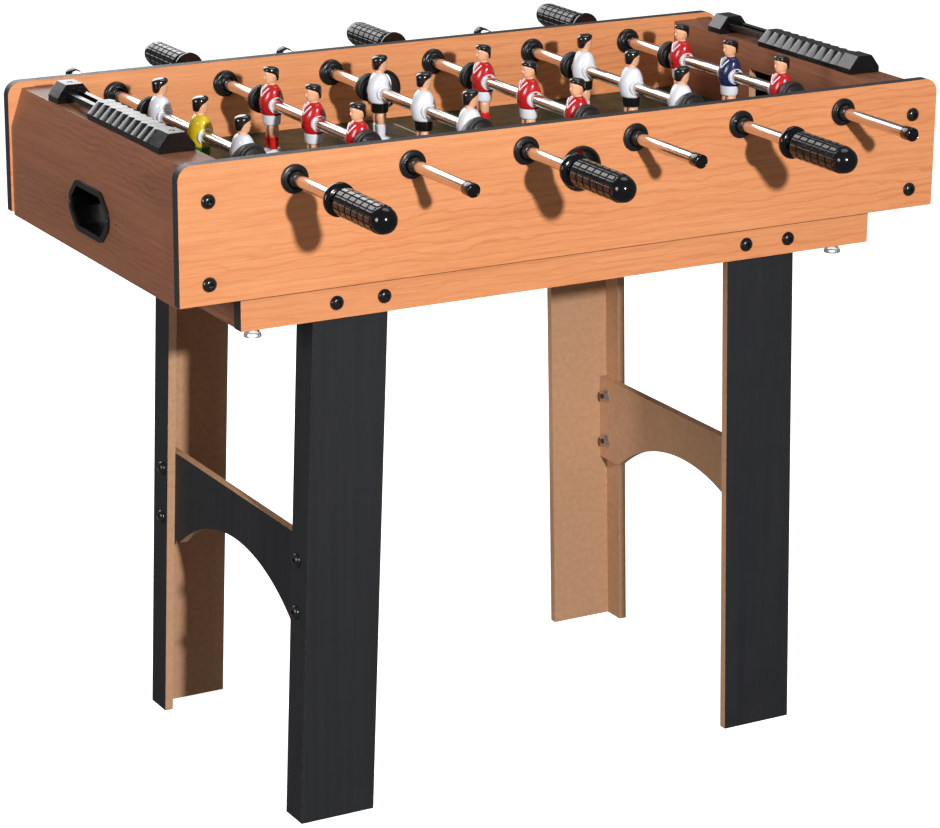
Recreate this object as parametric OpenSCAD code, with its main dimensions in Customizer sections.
// Foosball table: a laminated case on a folded-board stand, with six rods of three players.
// X runs along the table, -Y is the side of the three white rods' handles, the floor is z = 0.

/* [Case] */
// Length of the two side panels
case_len = 870; // [720:5:1050]
// Depth over the outer faces of the two side panels
case_wid = 430; // [356:2:520]
// Thickness of the side panels
panel_t = 12; // [10:0.2:15]
// Radius of the panels' top corners
corner_r = 15; // [8:1:24]
// Thickness of the folded end panels and of the goal walls
board_t = 9; // [7:0.1:11]
// Depth of one end, from its outer face to the face of its goal wall
end_depth = 54.5; // [50:0.1:66]

/* [Playing field] */
// Height of the playing surface over the underside of the case
field_rise = 54; // [50:0.2:66]
// Thickness of the playing field board
field_t = 6; // [4:1:8]
// Width of the goal mouth
goal_w = 96; // [80:1:116]

/* [Rods] */
// Outside diameter of the rod tubes
rod_d = 12; // [10:0.1:14.5]
// Height of the side panels over the rod axes
panel_over_rods = 24; // [20:1:40]
// Gap between a player's foot and the playing field
foot_gap = 5; // [3:0.5:8]
// Distance between two neighbouring players on a rod
player_pitch = 97; // [81:1:117]
// How far the rods stand from their middle place, towards -Y, when they are at rest
rod_park = 6.5; // [0:0.5:14]
// Diameter of the grips
grip_d = 28; // [24:0.1:34]
// Length of a handle over its flange and dome
handle_len = 102; // [85:1:123]

/* [Stand] */
// Height of the underside of the case over the floor
stand_h = 568; // [472:4:680]
// Distance from each end of the case to the apron frame under it
apron_inset = 70; // [58:1:84]
// Height of the apron boards
apron_h = 36; // [32:1:44]
// Width of a leg's wide face
leg_wide = 82; // [76:1:90]
// Width of a leg's narrow face
leg_narrow = 35; // [32:1:44]
// Height of the braces' top edges over the floor
brace_rise = 296; // [200:4:340]
// Outward lean of the legs, in degrees
leg_lean = 1.8; // [0:0.1:2.2]

/* [Hidden] */
$fn = 48;

light_wood = "#e8a66a";
brown_wood = "#7a4a35";
raw_board = "#b98a5e";
black = "#1c1c1e";
steel = "#b8babd";
turf = "#1f3d24";

rods = 6;
over = 1;                                      // how far a cutting tool passes a face
past = 100;                                    // size of a cutter that takes all beyond a plane
player_low = 53;                               // a player's foot below its rod
rod_rise = field_rise + player_low + foot_gap;
panel_h = rod_rise + panel_over_rods;
side_in = case_wid / 2 - panel_t;              // inner face of the side panels
field_z = stand_h + field_rise;
rod_z = stand_h + rod_rise;
groove = 4;                                    // depth of the grooves that hold the field

// The folded end panel, as distances from the case's middle and from the floor.
cup_lip = 2.5;                                 // thickness of the flanges on the two cups
end_out = case_len / 2 - cup_lip;
end_low_z = stand_h - 3.5;
end_top_z = stand_h + panel_h - 6.5;
fold_h = 39.5;                                 // height of the panel's sloping upper band
fold_in = 13;                                  // how far that band leans in
fold_z = end_top_z - fold_h;
fold_angle = atan(fold_in / fold_h);
wall_in = end_out - end_depth;
wall_out = wall_in + board_t;
rod_pitch = 2 * wall_in / rods;                // the rods share the field evenly

// Stand
apron_len = case_len - 2 * apron_inset;
apron_t = 15;
apron_out = case_wid / 2 - 15.5;               // outer face of the long apron boards
apron_in = apron_out - apron_t;
end_apron_t = 12;
end_apron_out = apron_len / 2 - 1;
leg_t = 9;
leg_inset = 84;                                // from the apron's end to a leg's narrow face
leg_x = apron_len / 2 - leg_inset;
lean_z = stand_h - apron_h;                    // height about which the legs lean
leg_top_z = stand_h - 1;
brace_t = 9;
brace_h = 98;
brace_y = apron_in - leg_t;
arch_half = 136;                               // half of the arch's span
arch_rise = 48;
brace_bolt_y = apron_in - 22;
brace_bolt_z = [brace_rise - 20, brace_rise - 75];

// Fasteners
bolt_d = 6;
bolt_gap = 0.2;
bolt_head_d = 14.5;
bolt_head_h = 5;
nut_d = 16;
nut_h = 5;
case_bolt_x = wall_out + 17.5;
case_bolt_grip = 18;                           // how far a case bolt goes into its block
case_bolt_z = [stand_h + 20, stand_h + panel_h - 36];
leg_bolt_x = [leg_x - leg_t - nut_d / 2 - 1, leg_x - leg_wide + 12];
screw_depth = 6;                               // how far a small screw goes into its board
screw_pilot = 2;
leg_bolt_z = stand_h - 20;
end_block = [end_out - board_t - wall_out - 11.5, 24, panel_h - board_t - 25];
apron_block = [24, 24, 33];
foot_pin_d = 5;
foot_pin_len = 12;

// Bearings and rods
sleeve_d = rod_d + 4;
bearing_d = sleeve_d + 12.5;
bearing_out = 9;                               // how far an outer bearing stands off its panel
bearing_in = 7;
running_gap = 0.05;
tube_wall = 1;
handle_y = case_wid / 2 + 83.5;                 // a handle's flange, with the rod in mid travel
cap_end_y = case_wid / 2 + 115;
cap_len = 14;
cap_d = rod_d + 2;
cap_floor = 3;                                 // thickness of a cap's closed end
handle_bore = 60;                              // depth of a rod in its handle
player_w = 26;                                 // size of a player along the rod
bumper_t = 9;
bumper_d = 29.5;
bumper_gap = 4.5;                              // from a player's boss to the bumper beside it
bumper_park = 0.7 * rod_park;                  // the loose bumpers lag behind their rod
bumper_y = player_pitch + player_w / 2 + bumper_gap + bumper_t / 2;

// Scorers
scorer_x = (wall_in + end_out - fold_in) / 2;   // the middle of the end's flat top
scorer_half = 136;
scorer_w = end_depth - fold_in - 3.5;
scorer_h = 19;
scorer_end = 24;                               // length of a scorer's end block
scorer_screw_d = 3;
scorer_sink = 2;                               // depth of the recess for a screw's head
scorer_screw_y = scorer_half - scorer_end / 2;
beads = 10;
bead_pitch = 15;
bead_bar_gap = 0.3;
bar_w = 6;
bar_h = 6;
bar_x = 7;
bar_lift = 6;

// Cups
cup_z = field_z - 8;
cup_w = 97;
cup_h = 52;
cup_cut = 18;
cup_wall = 2;
cup_gap = 1;                                   // from a cup's pocket to the boards beside it
cup_hole_in = 4;                               // from a cup flange's rim to its hole
cup_screw_y = cup_w / 2 - cup_hole_in / 2;
entry_z = field_z + 33;
entry_d = 46;
entry_sleeve_d = 40;
entry_bore = 35;

function rod_x(i) = (i - (rods + 1) / 2) * rod_pitch;

// ---- helpers ---------------------------------------------------------------------------

// A flat outline in X and Z, given its thickness along Y from y0.
module upright(y0, thick) {
    translate([0, y0 + thick, 0]) rotate([90, 0, 0]) linear_extrude(thick) children();
}

// A flat outline in Y and Z, given its thickness along X from x0.
module crosswise(x0, thick) {
    translate([x0, 0, 0]) rotate([90, 0, 90]) linear_extrude(thick) children();
}

// A cylinder along Y from y0 to y1.
module bar_y(d, y0, y1) {
    translate([0, y1, 0]) rotate([90, 0, 0]) cylinder(d = d, h = y1 - y0);
}

// A turned piece: the outline's x is the radius and its y runs towards -Y.
module turned_y() {
    rotate([90, 0, 0]) rotate_extrude() children();
}

module both_x() {
    children();
    mirror([1, 0, 0]) children();
}

module both_y() {
    children();
    mirror([0, 1, 0]) children();
}

// Puts a leg or brace, drawn upright on the +X side, at its outward lean.
module leaning() {
    translate([leg_x, 0, lean_z]) rotate([0, -leg_lean, 0]) translate([-leg_x, 0, -lean_z])
        children();
}

// ---- case ------------------------------------------------------------------------------

module panel_outline() {
    half = case_len / 2;
    translate([-half, stand_h]) square([case_len, panel_h - corner_r]);
    translate([-half + corner_r, stand_h]) square([case_len - 2 * corner_r, panel_h]);
    for (s = [-1, 1])
        translate([s * (half - corner_r), stand_h + panel_h - corner_r]) circle(corner_r);
}

// The side panel at -Y, with its holes for bearings, ball entry and bolts.
module side_panel() {
    difference() {
        upright(-case_wid / 2, panel_t) panel_outline();
        for (i = [1 : rods])
            translate([rod_x(i), 0, rod_z]) bar_y(sleeve_d, -case_wid / 2 - over, -side_in + over);
        translate([0, 0, entry_z]) bar_y(entry_sleeve_d, -case_wid / 2 - over, -side_in + over);
        for (s = [-1, 1], z = case_bolt_z)
            translate([s * case_bolt_x, 0, z])
                bar_y(bolt_d + bolt_gap, -case_wid / 2 - over, -side_in + over);
        translate([-wall_in - groove, -side_in - groove, field_z - field_t])
            cube([2 * (wall_in + groove), groove + over, field_t]);
    }
}

module front_panel() { color(light_wood) side_panel(); }

module rear_panel() { color(light_wood) mirror([0, 1, 0]) side_panel(); }

// Cross-section of the folded end board on the +X side.
module end_outline() {
    in_x = end_out - board_t;
    in_fold_z = fold_z - board_t * tan(fold_angle / 2);
    in_top_z = end_top_z - board_t;
    in_top_x = in_x - (in_top_z - in_fold_z) * tan(fold_angle);
    polygon([
        [end_out, end_low_z], [end_out, fold_z], [end_out - fold_in, end_top_z],
        [wall_in, end_top_z], [wall_in, in_top_z], [in_top_x, in_top_z],
        [in_x, in_fold_z], [in_x, end_low_z]
    ]);
}

module octagon(w, h, cut) {
    polygon([
        [-w / 2 + cut, -h / 2], [w / 2 - cut, -h / 2], [w / 2, -h / 2 + cut],
        [w / 2, h / 2 - cut], [w / 2 - cut, h / 2], [-w / 2 + cut, h / 2],
        [-w / 2, h / 2 - cut], [-w / 2, -h / 2 + cut]
    ]);
}

module cup_hole_outline(shrink) {
    octagon(cup_w - 2 * shrink, cup_h - 2 * shrink, cup_cut - 0.6 * shrink);
}

module end_panel() {
    spare_hole_y = cup_w / 2 + 14.5;
    spare_hole_d = 3;
    color(brown_wood) difference() {
        upright(-side_in, 2 * side_in) end_outline();
        translate([0, 0, cup_z]) crosswise(end_out - board_t - over, board_t + 2 * over)
            cup_hole_outline(cup_hole_in);
        for (s = [-1, 1]) {
            translate([end_out - board_t / 2, s * spare_hole_y, cup_z]) rotate([0, 90, 0])
                cylinder(d = spare_hole_d, h = board_t);
            translate([end_out - screw_depth, s * cup_screw_y, cup_z]) rotate([0, 90, 0])
                cylinder(d = screw_pilot, h = screw_depth + over);
            translate([scorer_x, s * scorer_screw_y, end_top_z - screw_depth])
                cylinder(d = scorer_screw_d, h = screw_depth + over);
        }
    }
}

module left_end_panel() { mirror([1, 0, 0]) end_panel(); }

module right_end_panel() { end_panel(); }

module goal_wall() {
    mouth_h = 48;
    color(brown_wood) difference() {
        translate([wall_in, -side_in, stand_h + board_t])
            cube([board_t, 2 * side_in, end_top_z - stand_h - 2 * board_t]);
        translate([wall_in - over, -goal_w / 2, field_z])
            cube([board_t + 2 * over, goal_w, mouth_h]);
        translate([wall_in - over, -side_in - over, field_z - field_t])
            cube([groove + over, 2 * (side_in + over), field_t]);
    }
}

module left_goal_wall() { mirror([1, 0, 0]) goal_wall(); }

module right_goal_wall() { goal_wall(); }

module playing_field() {
    color(turf) translate([-wall_in - groove, -side_in - groove, field_z - field_t])
        cube([2 * (wall_in + groove), 2 * (side_in + groove), field_t]);
}

module base_board() {
    half = end_out - board_t;
    color(raw_board) translate([-half, -side_in, stand_h]) cube([2 * half, 2 * side_in, board_t]);
}

// ---- apron frame -----------------------------------------------------------------------

module front_apron() {
    color(light_wood) difference() {
        translate([-apron_len / 2, -apron_out, stand_h - apron_h])
            cube([apron_len, apron_t, apron_h]);
        for (s = [-1, 1], x = leg_bolt_x)
            translate([s * x, 0, leg_bolt_z])
                bar_y(bolt_d + bolt_gap, -apron_out - over, -apron_in + over);
    }
}

module rear_apron() { mirror([0, 1, 0]) front_apron(); }

module end_aprons() {
    color(brown_wood) both_x()
        translate([end_apron_out - end_apron_t, -apron_in, stand_h - apron_h])
            cube([end_apron_t, 2 * apron_in, apron_h]);
}

// Blocks that the case bolts and the suction feet screw into.
module corner_blocks() {
    apron_block_x = end_apron_out - end_apron_t - apron_block[0];
    color(raw_board) both_x() both_y() {
        difference() {
            translate([wall_out, -side_in, stand_h + board_t]) cube(end_block);
            for (z = case_bolt_z)
                translate([case_bolt_x, 0, z])
                    bar_y(bolt_d, -side_in - over, -side_in + case_bolt_grip + 2);
        }
        difference() {
            translate([apron_block_x, -apron_in, stand_h - apron_block[2]]) cube(apron_block);
            translate([apron_block_x + apron_block[0] / 2, -apron_in + apron_block[1] / 2,
                stand_h - apron_block[2] - over])
                cylinder(d = foot_pin_d, h = foot_pin_len + over);
        }
    }
}

module suction_feet() {
    foot_x = end_apron_out - end_apron_t - apron_block[0] / 2;
    foot_y = apron_in - apron_block[1] / 2;
    bell_r = 9;
    bell_h = 17;
    stem_r = 4;
    pin_r = foot_pin_d / 2;
    color("#dfe6e8") both_x() both_y()
        translate([foot_x, -foot_y, stand_h - apron_block[2]]) rotate_extrude() polygon([
            [0, foot_pin_len], [pin_r, foot_pin_len], [pin_r, 0], [stem_r, 0], [stem_r, -5],
            [bell_r - 2, -bell_h + 5],
            [bell_r, -bell_h], [bell_r - 1.5, -bell_h], [bell_r - 4, -bell_h + 4], [0, -bell_h + 8]
        ]);
}

// ---- legs and braces -------------------------------------------------------------------

// The leg at +X and -Y: one board folded to an L, cut level at the floor and at the top.
module leg() {
    color(black) difference() {
        leaning() difference() {
            translate([leg_x, -apron_in, -past / 2]) linear_extrude(leg_top_z + past) polygon([
                [0, 0], [0, leg_narrow], [-leg_t, leg_narrow], [-leg_t, leg_t],
                [-leg_wide, leg_t], [-leg_wide, 0]
            ]);
            for (z = brace_bolt_z)
                translate([leg_x - leg_t - over, -brace_bolt_y, z]) rotate([0, 90, 0])
                    cylinder(d = bolt_d + bolt_gap, h = leg_t + 2 * over);
        }
        translate([0, -case_wid / 2, -past]) cube([case_len, case_wid, past]);
        translate([0, -case_wid / 2, leg_top_z]) cube([case_len, case_wid, past]);
        for (x = leg_bolt_x)
            translate([x, 0, leg_bolt_z])
                bar_y(bolt_d + bolt_gap, -apron_in - over, -apron_in + leg_t + over);
    }
}

module front_left_leg() { mirror([1, 0, 0]) leg(); }

module front_right_leg() { leg(); }

module rear_left_leg() { mirror([0, 1, 0]) mirror([1, 0, 0]) leg(); }

module rear_right_leg() { mirror([0, 1, 0]) leg(); }

// The board between two legs, with a round arch cut from its lower edge.
module brace() {
    arch_r = (arch_half * arch_half + arch_rise * arch_rise) / (2 * arch_rise);
    low_z = brace_rise - brace_h;
    color(black) leaning() difference() {
        translate([leg_x - leg_t - brace_t, -brace_y, low_z])
            cube([brace_t, 2 * brace_y, brace_h]);
        translate([leg_x - leg_t - brace_t - over, 0, low_z + arch_rise - arch_r])
            rotate([0, 90, 0]) cylinder(r = arch_r, h = brace_t + 2 * over);
        for (s = [-1, 1], z = brace_bolt_z)
            translate([leg_x - leg_t - brace_t - over, s * brace_bolt_y, z]) rotate([0, 90, 0])
                cylinder(d = bolt_d + bolt_gap, h = brace_t + 2 * over);
    }
}

module left_brace() { mirror([1, 0, 0]) brace(); }

module right_brace() { brace(); }

// ---- fasteners -------------------------------------------------------------------------

// A button-head bolt: its head stands on z = 0 and its shank runs down.
module bolt(shank) {
    socket_d = 4.6;
    difference() {
        union() {
            rotate_extrude() polygon([
                [0, 0], [bolt_head_d / 2, 0], [bolt_head_d / 2, 1.5],
                [bolt_head_d / 2 - 2, 3.2], [bolt_head_d / 2 - 3.5, bolt_head_h], [0, bolt_head_h]
            ]);
            translate([0, 0, -shank]) cylinder(d = bolt_d, h = shank);
        }
        translate([0, 0, bolt_head_h - 2.5]) cylinder(d = socket_d, h = 3, $fn = 6);
    }
}

module case_bolts() {
    color(black) both_x() both_y() {
        for (z = case_bolt_z)
            translate([case_bolt_x, -case_wid / 2, z]) rotate([90, 0, 0])
                bolt(panel_t + case_bolt_grip);
        for (x = leg_bolt_x)
            translate([x, -apron_out, leg_bolt_z]) rotate([90, 0, 0])
                bolt(apron_t + leg_t + nut_h + 1);
    }
}

module brace_bolts() {
    color(black) both_x() leaning() both_y() for (z = brace_bolt_z)
        translate([leg_x, -brace_bolt_y, z]) rotate([0, 90, 0])
            bolt(leg_t + brace_t + nut_h + 1);
}

// A flange nut: its flange stands on z = 0.
module flange_nut() {
    difference() {
        union() {
            cylinder(d = nut_d, h = 1.5);
            cylinder(d = 11.5, h = nut_h, $fn = 6);
        }
        translate([0, 0, -over]) cylinder(d = bolt_d, h = nut_h + 2 * over);
    }
}

module flange_nuts() {
    color(steel) both_x() both_y() {
        for (x = leg_bolt_x)
            translate([x, -apron_in + leg_t, leg_bolt_z]) rotate([-90, 0, 0]) flange_nut();
        leaning() for (z = brace_bolt_z)
            translate([leg_x - leg_t - brace_t, -brace_bolt_y, z]) rotate([0, -90, 0])
                flange_nut();
    }
}

// The cup screws, along X, and the scorer screws, along Z.
module small_screws() {
    color(steel) both_x() both_y() {
        translate([end_out - screw_depth, cup_screw_y, cup_z]) rotate([0, 90, 0]) {
            cylinder(d = screw_pilot, h = screw_depth + cup_lip);
            translate([0, 0, screw_depth + cup_lip]) cylinder(d = 3.4, h = 0.8);
        }
        translate([scorer_x, scorer_screw_y, end_top_z - screw_depth]) {
            cylinder(d = scorer_screw_d, h = screw_depth + scorer_h - scorer_sink);
            translate([0, 0, screw_depth + scorer_h - scorer_sink])
                cylinder(d = 2 * scorer_screw_d, h = scorer_sink - 0.2);
        }
    }
}

// ---- bearings and cups -----------------------------------------------------------------

// The flanged bush on the outside of a panel, with the sleeve that the rod runs in.
module outer_bearing() {
    bore_r = rod_d / 2 + running_gap;
    turned_y() polygon([
        [bore_r, -panel_t - 4], [sleeve_d / 2, -panel_t - 4], [sleeve_d / 2, 0],
        [bearing_d / 2, 0], [bearing_d / 2, 2.5], [bearing_d / 2 - 2, 4],
        [sleeve_d / 2 + 2, 4], [sleeve_d / 2 + 1, bearing_out], [bore_r, bearing_out]
    ]);
}

module inner_bearing() {
    turned_y() polygon([
        [sleeve_d / 2, 0], [bearing_d / 2, 0], [bearing_d / 2, -2.5], [bearing_d / 2 - 2.5, -5],
        [sleeve_d / 2 + 1, -bearing_in], [sleeve_d / 2, -bearing_in]
    ]);
}

module outer_bearings() {
    color(black) both_y() for (i = [1 : rods])
        translate([rod_x(i), -case_wid / 2, rod_z]) outer_bearing();
}

module inner_bearings() {
    color(black) both_y() for (i = [1 : rods])
        translate([rod_x(i), -side_in, rod_z]) inner_bearing();
}

// A goal cup: an eight-sided flange outside the end panel and an open pocket behind it.
module goal_cup() {
    back_x = wall_out + cup_gap;
    front_x = end_out + cup_lip;
    top_cut_z = field_z - 2 - cup_z;           // the pocket is open above this height
    difference() {
        union() {
            crosswise(end_out, cup_lip) octagon(cup_w, cup_h, cup_cut);
            crosswise(back_x, end_out - back_x) cup_hole_outline(cup_hole_in);
        }
        crosswise(back_x + cup_wall, front_x - back_x) cup_hole_outline(cup_hole_in + cup_wall);
        translate([back_x - over, -cup_w / 2, top_cut_z])
            cube([end_out - board_t - cup_gap - back_x + over, cup_w, cup_h]);
        for (s = [-1, 1])
            translate([end_out - over, s * cup_screw_y, 0]) rotate([0, 90, 0])
                cylinder(d = screw_pilot, h = cup_lip + 2 * over);
    }
}

module goal_cups() {
    color(black) both_x() translate([0, 0, cup_z]) goal_cup();
}

// A ball entry cup with its funnel and, inside the panel, the ring that locks it.
module entry_cup() {
    turned_y() polygon([
        [entry_bore / 2, -panel_t - 3], [entry_sleeve_d / 2, -panel_t - 3],
        [entry_sleeve_d / 2, 0], [entry_d / 2, 0], [entry_d / 2, 2], [entry_d / 2 - 1.5, 3.5],
        [entry_d / 2 - 3, 3.5], [entry_bore / 2, -6]
    ]);
    turned_y() polygon([
        [entry_sleeve_d / 2, -panel_t], [entry_d / 2 - 1, -panel_t],
        [entry_d / 2 - 1, -panel_t - 1.5], [entry_d / 2 - 2, -panel_t - 3],
        [entry_sleeve_d / 2, -panel_t - 3]
    ]);
}

module ball_entry_cups() {
    color(black) both_y() translate([0, -case_wid / 2, entry_z]) entry_cup();
}

// ---- scorers ---------------------------------------------------------------------------

module scorer_end_outline(narrow) {
    polygon([
        [-scorer_w / 2, 0], [scorer_w / 2, 0], [scorer_w / 2, 6], [narrow, scorer_h],
        [-narrow, scorer_h], [-scorer_w / 2, 6]
    ]);
}

// One scorer: two bars moulded between two end blocks.
module scorer_rail() {
    inner_y = scorer_half - scorer_end;
    difference() {
        union() {
            both_y() upright(-scorer_half, scorer_end) scorer_end_outline(9);
            for (s = [-1, 1])
                translate([s * bar_x - bar_w / 2, -inner_y - over, bar_lift])
                    cube([bar_w, 2 * (inner_y + over), bar_h]);
        }
        for (s = [-1, 1])
            translate([0, s * scorer_screw_y, 0]) {
                translate([0, 0, -over]) cylinder(d = scorer_screw_d, h = scorer_h + 2 * over);
                translate([0, 0, scorer_h - scorer_sink])
                    cylinder(d = 2 * scorer_screw_d, h = scorer_sink + over);
            }
        both_y() translate([-scorer_w / 2 - over, -scorer_half - over, scorer_h])
            rotate([-55, 0, 0]) translate([0, -20, -10]) cube([scorer_w + 2 * over, 20, 30]);
    }
}

module scorer_rails() {
    color(black) both_x() translate([scorer_x, 0, end_top_z]) scorer_rail();
}

// One sliding bead, threaded on the two bars. Its top is a tile, and scoops at its four corners
// leave a fin on each shoulder.
module bead() {
    length = bead_pitch - 0.4;
    hole = bar_w + 2 * bead_bar_gap;
    low = 0.5;
    base_h = 5;
    base_half = scorer_w / 2 - 1;
    top_half = 9;
    scoop = 3;
    tile = 0.2;
    difference() {
        hull() {
            translate([-base_half, 0, low]) cube([2 * base_half, length, base_h]);
            translate([0, 0, scorer_h - 1.5 - tile]) linear_extrude(tile) polygon([
                [-top_half, length / 2], [scoop - top_half, 0], [top_half - scoop, 0],
                [top_half, length / 2], [top_half - scoop, length], [scoop - top_half, length]
            ]);
        }
        for (s = [-1, 1])
            translate([s * bar_x - hole / 2, -over, bar_lift - bead_bar_gap])
                cube([hole, bead_pitch + 2 * over, bar_h + 2 * bead_bar_gap]);
    }
}

// Ten beads, all pushed against the scorer's block at -Y.
module score_beads(side) {
    start_y = -scorer_half + scorer_end + 0.4;
    color(black) for (k = [0 : beads - 1])
        translate([side * scorer_x, start_y + k * bead_pitch, end_top_z]) bead();
}

module left_score_beads() { score_beads(-1); }

module right_score_beads() { score_beads(1); }

// ---- rods ------------------------------------------------------------------------------

// Odd rods have their handle at -Y and players that face +X; even rods are turned half round.
module on_rod(i) {
    translate([rod_x(i), -rod_park, rod_z]) rotate([0, 0, i % 2 == 1 ? 0 : 180]) children();
}

module rod_tube(i) {
    y0 = -handle_y - handle_bore;
    y1 = cap_end_y - cap_floor;
    color(steel) on_rod(i) difference() {
        bar_y(rod_d, y0, y1);
        bar_y(rod_d - 2 * tube_wall, y0 - over, y1 + over);
    }
}

module rod_handle(i) {
    r = grip_d / 2;
    flange_r = r + 2;
    dome = r * 0.85;
    color(black) on_rod(i) translate([0, -handle_y, 0]) difference() {
        turned_y() union() {
            polygon([
                [0, 0], [flange_r - 1, 0], [flange_r, 1.5], [flange_r, 4.5], [flange_r - 2, 6.5],
                [r - 4, 8], [r - 4, 12], [r, 16], [r, handle_len - dome], [0, handle_len - dome]
            ]);
            intersection() {
                translate([0, handle_len - r]) circle(r);
                translate([0, handle_len - dome]) square([r, dome]);
            }
        }
        bar_y(rod_d, -handle_bore, over);
    }
}

module rod_end_cap(i) {
    r = cap_d / 2;
    color(black) on_rod(i) translate([0, cap_end_y, 0]) difference() {
        turned_y() polygon([
            [0, 0], [r - 2.5, 0], [r - 0.7, 1.2], [r, 3], [r, cap_len - 0.6],
            [r - 0.6, cap_len], [0, cap_len]
        ]);
        bar_y(rod_d, -cap_len - over, -cap_floor);
    }
}

// A grooved rubber ring that is loose on the rod.
module bumper() {
    r = bumper_d / 2;
    turned_y() polygon([
        [rod_d / 2 + running_gap, 0], [r - 3, 0], [r - 1, 1], [r, 2], [r, 3.6], [r - 1.8, 4.2],
        [r - 1.8, 5.2], [r, 5.8], [r, 7], [r - 2, bumper_t], [rod_d / 2 + running_gap, bumper_t]
    ]);
}

module rod_bumpers(i) {
    color(black) translate([rod_x(i), -bumper_park, rod_z])
        both_y() translate([0, -bumper_y + bumper_t / 2, 0]) bumper();
}

// A player that faces +X, with the rod along Y at its origin.
module player() {
    hem_z = -10.5;
    shoulder_z = 20;
    chin_z = 22.5;
    head_z = 31.5;
    knee_z = -21;
    sole_z = -player_low;
    sole_t = 6.5;
    belly = 13;                                // half of the shirt's depth at the rod
    chest = 8;                                 // and at the shoulders
    head_d = 15;
    leg_w = 16;
    toe_x = 10.5;
    heel_x = -6.5;
    slit = 1.6;                                // the gap between the two legs
    boss_d = rod_d + 5.4;
    boss_len = 1.2;                            // how far a boss stands out of the shirt
    difference() {
        union() {
            upright(-player_w / 2 + boss_len, player_w - 2 * boss_len) polygon([
                [-belly + 2, hem_z], [belly - 2, hem_z], [belly, 4], [chest, shoulder_z - 2],
                [chest - 3, shoulder_z], [3 - chest, shoulder_z], [-chest, shoulder_z - 2],
                [-belly, 4]
            ]);
            bar_y(boss_d, -player_w / 2, player_w / 2);
            translate([0, 0, shoulder_z - over]) cylinder(d = 9, h = head_z - shoulder_z);
            translate([0, 0, chin_z]) cylinder(d = head_d - 2, h = head_z - chin_z);
            translate([0, 0, head_z]) sphere(d = head_d);
            translate([-leg_w / 2, -leg_w / 2 - 1, knee_z])
                cube([leg_w, leg_w + 2, hem_z - knee_z + over]);
            translate([-5, -leg_w / 2, sole_z + 5]) cube([10, leg_w, knee_z - sole_z - 3]);
            translate([heel_x, -leg_w / 2, sole_z]) cube([toe_x - heel_x, leg_w, sole_t]);
        }
        bar_y(rod_d, -player_w, player_w);
        translate([-10, -slit / 2, sole_z + 8]) cube([20, slit, 20]);
    }
}

module rod_players(i) {
    shirt = i % 2 == 1 ? "#eef0f2" : "#c8181f";
    color(shirt) on_rod(i)
        for (k = [-1 : 1]) translate([0, k * player_pitch, 0]) player();
}

front_panel();
rear_panel();
left_end_panel();
right_end_panel();
left_goal_wall();
right_goal_wall();
playing_field();
base_board();
front_apron();
rear_apron();
end_aprons();
corner_blocks();
suction_feet();
front_left_leg();
front_right_leg();
rear_left_leg();
rear_right_leg();
left_brace();
right_brace();
outer_bearings();
inner_bearings();
goal_cups();
ball_entry_cups();
scorer_rails();
case_bolts();
brace_bolts();
flange_nuts();
small_screws();
left_score_beads();
right_score_beads();
rod_tube(1);  // rod_1_tube
rod_players(1);  // rod_1_players
rod_handle(1);  // rod_1_handle
rod_end_cap(1);  // rod_1_end_cap
rod_bumpers(1);  // rod_1_bumpers
rod_tube(2);  // rod_2_tube
rod_players(2);  // rod_2_players
rod_handle(2);  // rod_2_handle
rod_end_cap(2);  // rod_2_end_cap
rod_bumpers(2);  // rod_2_bumpers
rod_tube(3);  // rod_3_tube
rod_players(3);  // rod_3_players
rod_handle(3);  // rod_3_handle
rod_end_cap(3);  // rod_3_end_cap
rod_bumpers(3);  // rod_3_bumpers
rod_tube(4);  // rod_4_tube
rod_players(4);  // rod_4_players
rod_handle(4);  // rod_4_handle
rod_end_cap(4);  // rod_4_end_cap
rod_bumpers(4);  // rod_4_bumpers
rod_tube(5);  // rod_5_tube
rod_players(5);  // rod_5_players
rod_handle(5);  // rod_5_handle
rod_end_cap(5);  // rod_5_end_cap
rod_bumpers(5);  // rod_5_bumpers
rod_tube(6);  // rod_6_tube
rod_players(6);  // rod_6_players
rod_handle(6);  // rod_6_handle
rod_end_cap(6);  // rod_6_end_cap
rod_bumpers(6);  // rod_6_bumpers
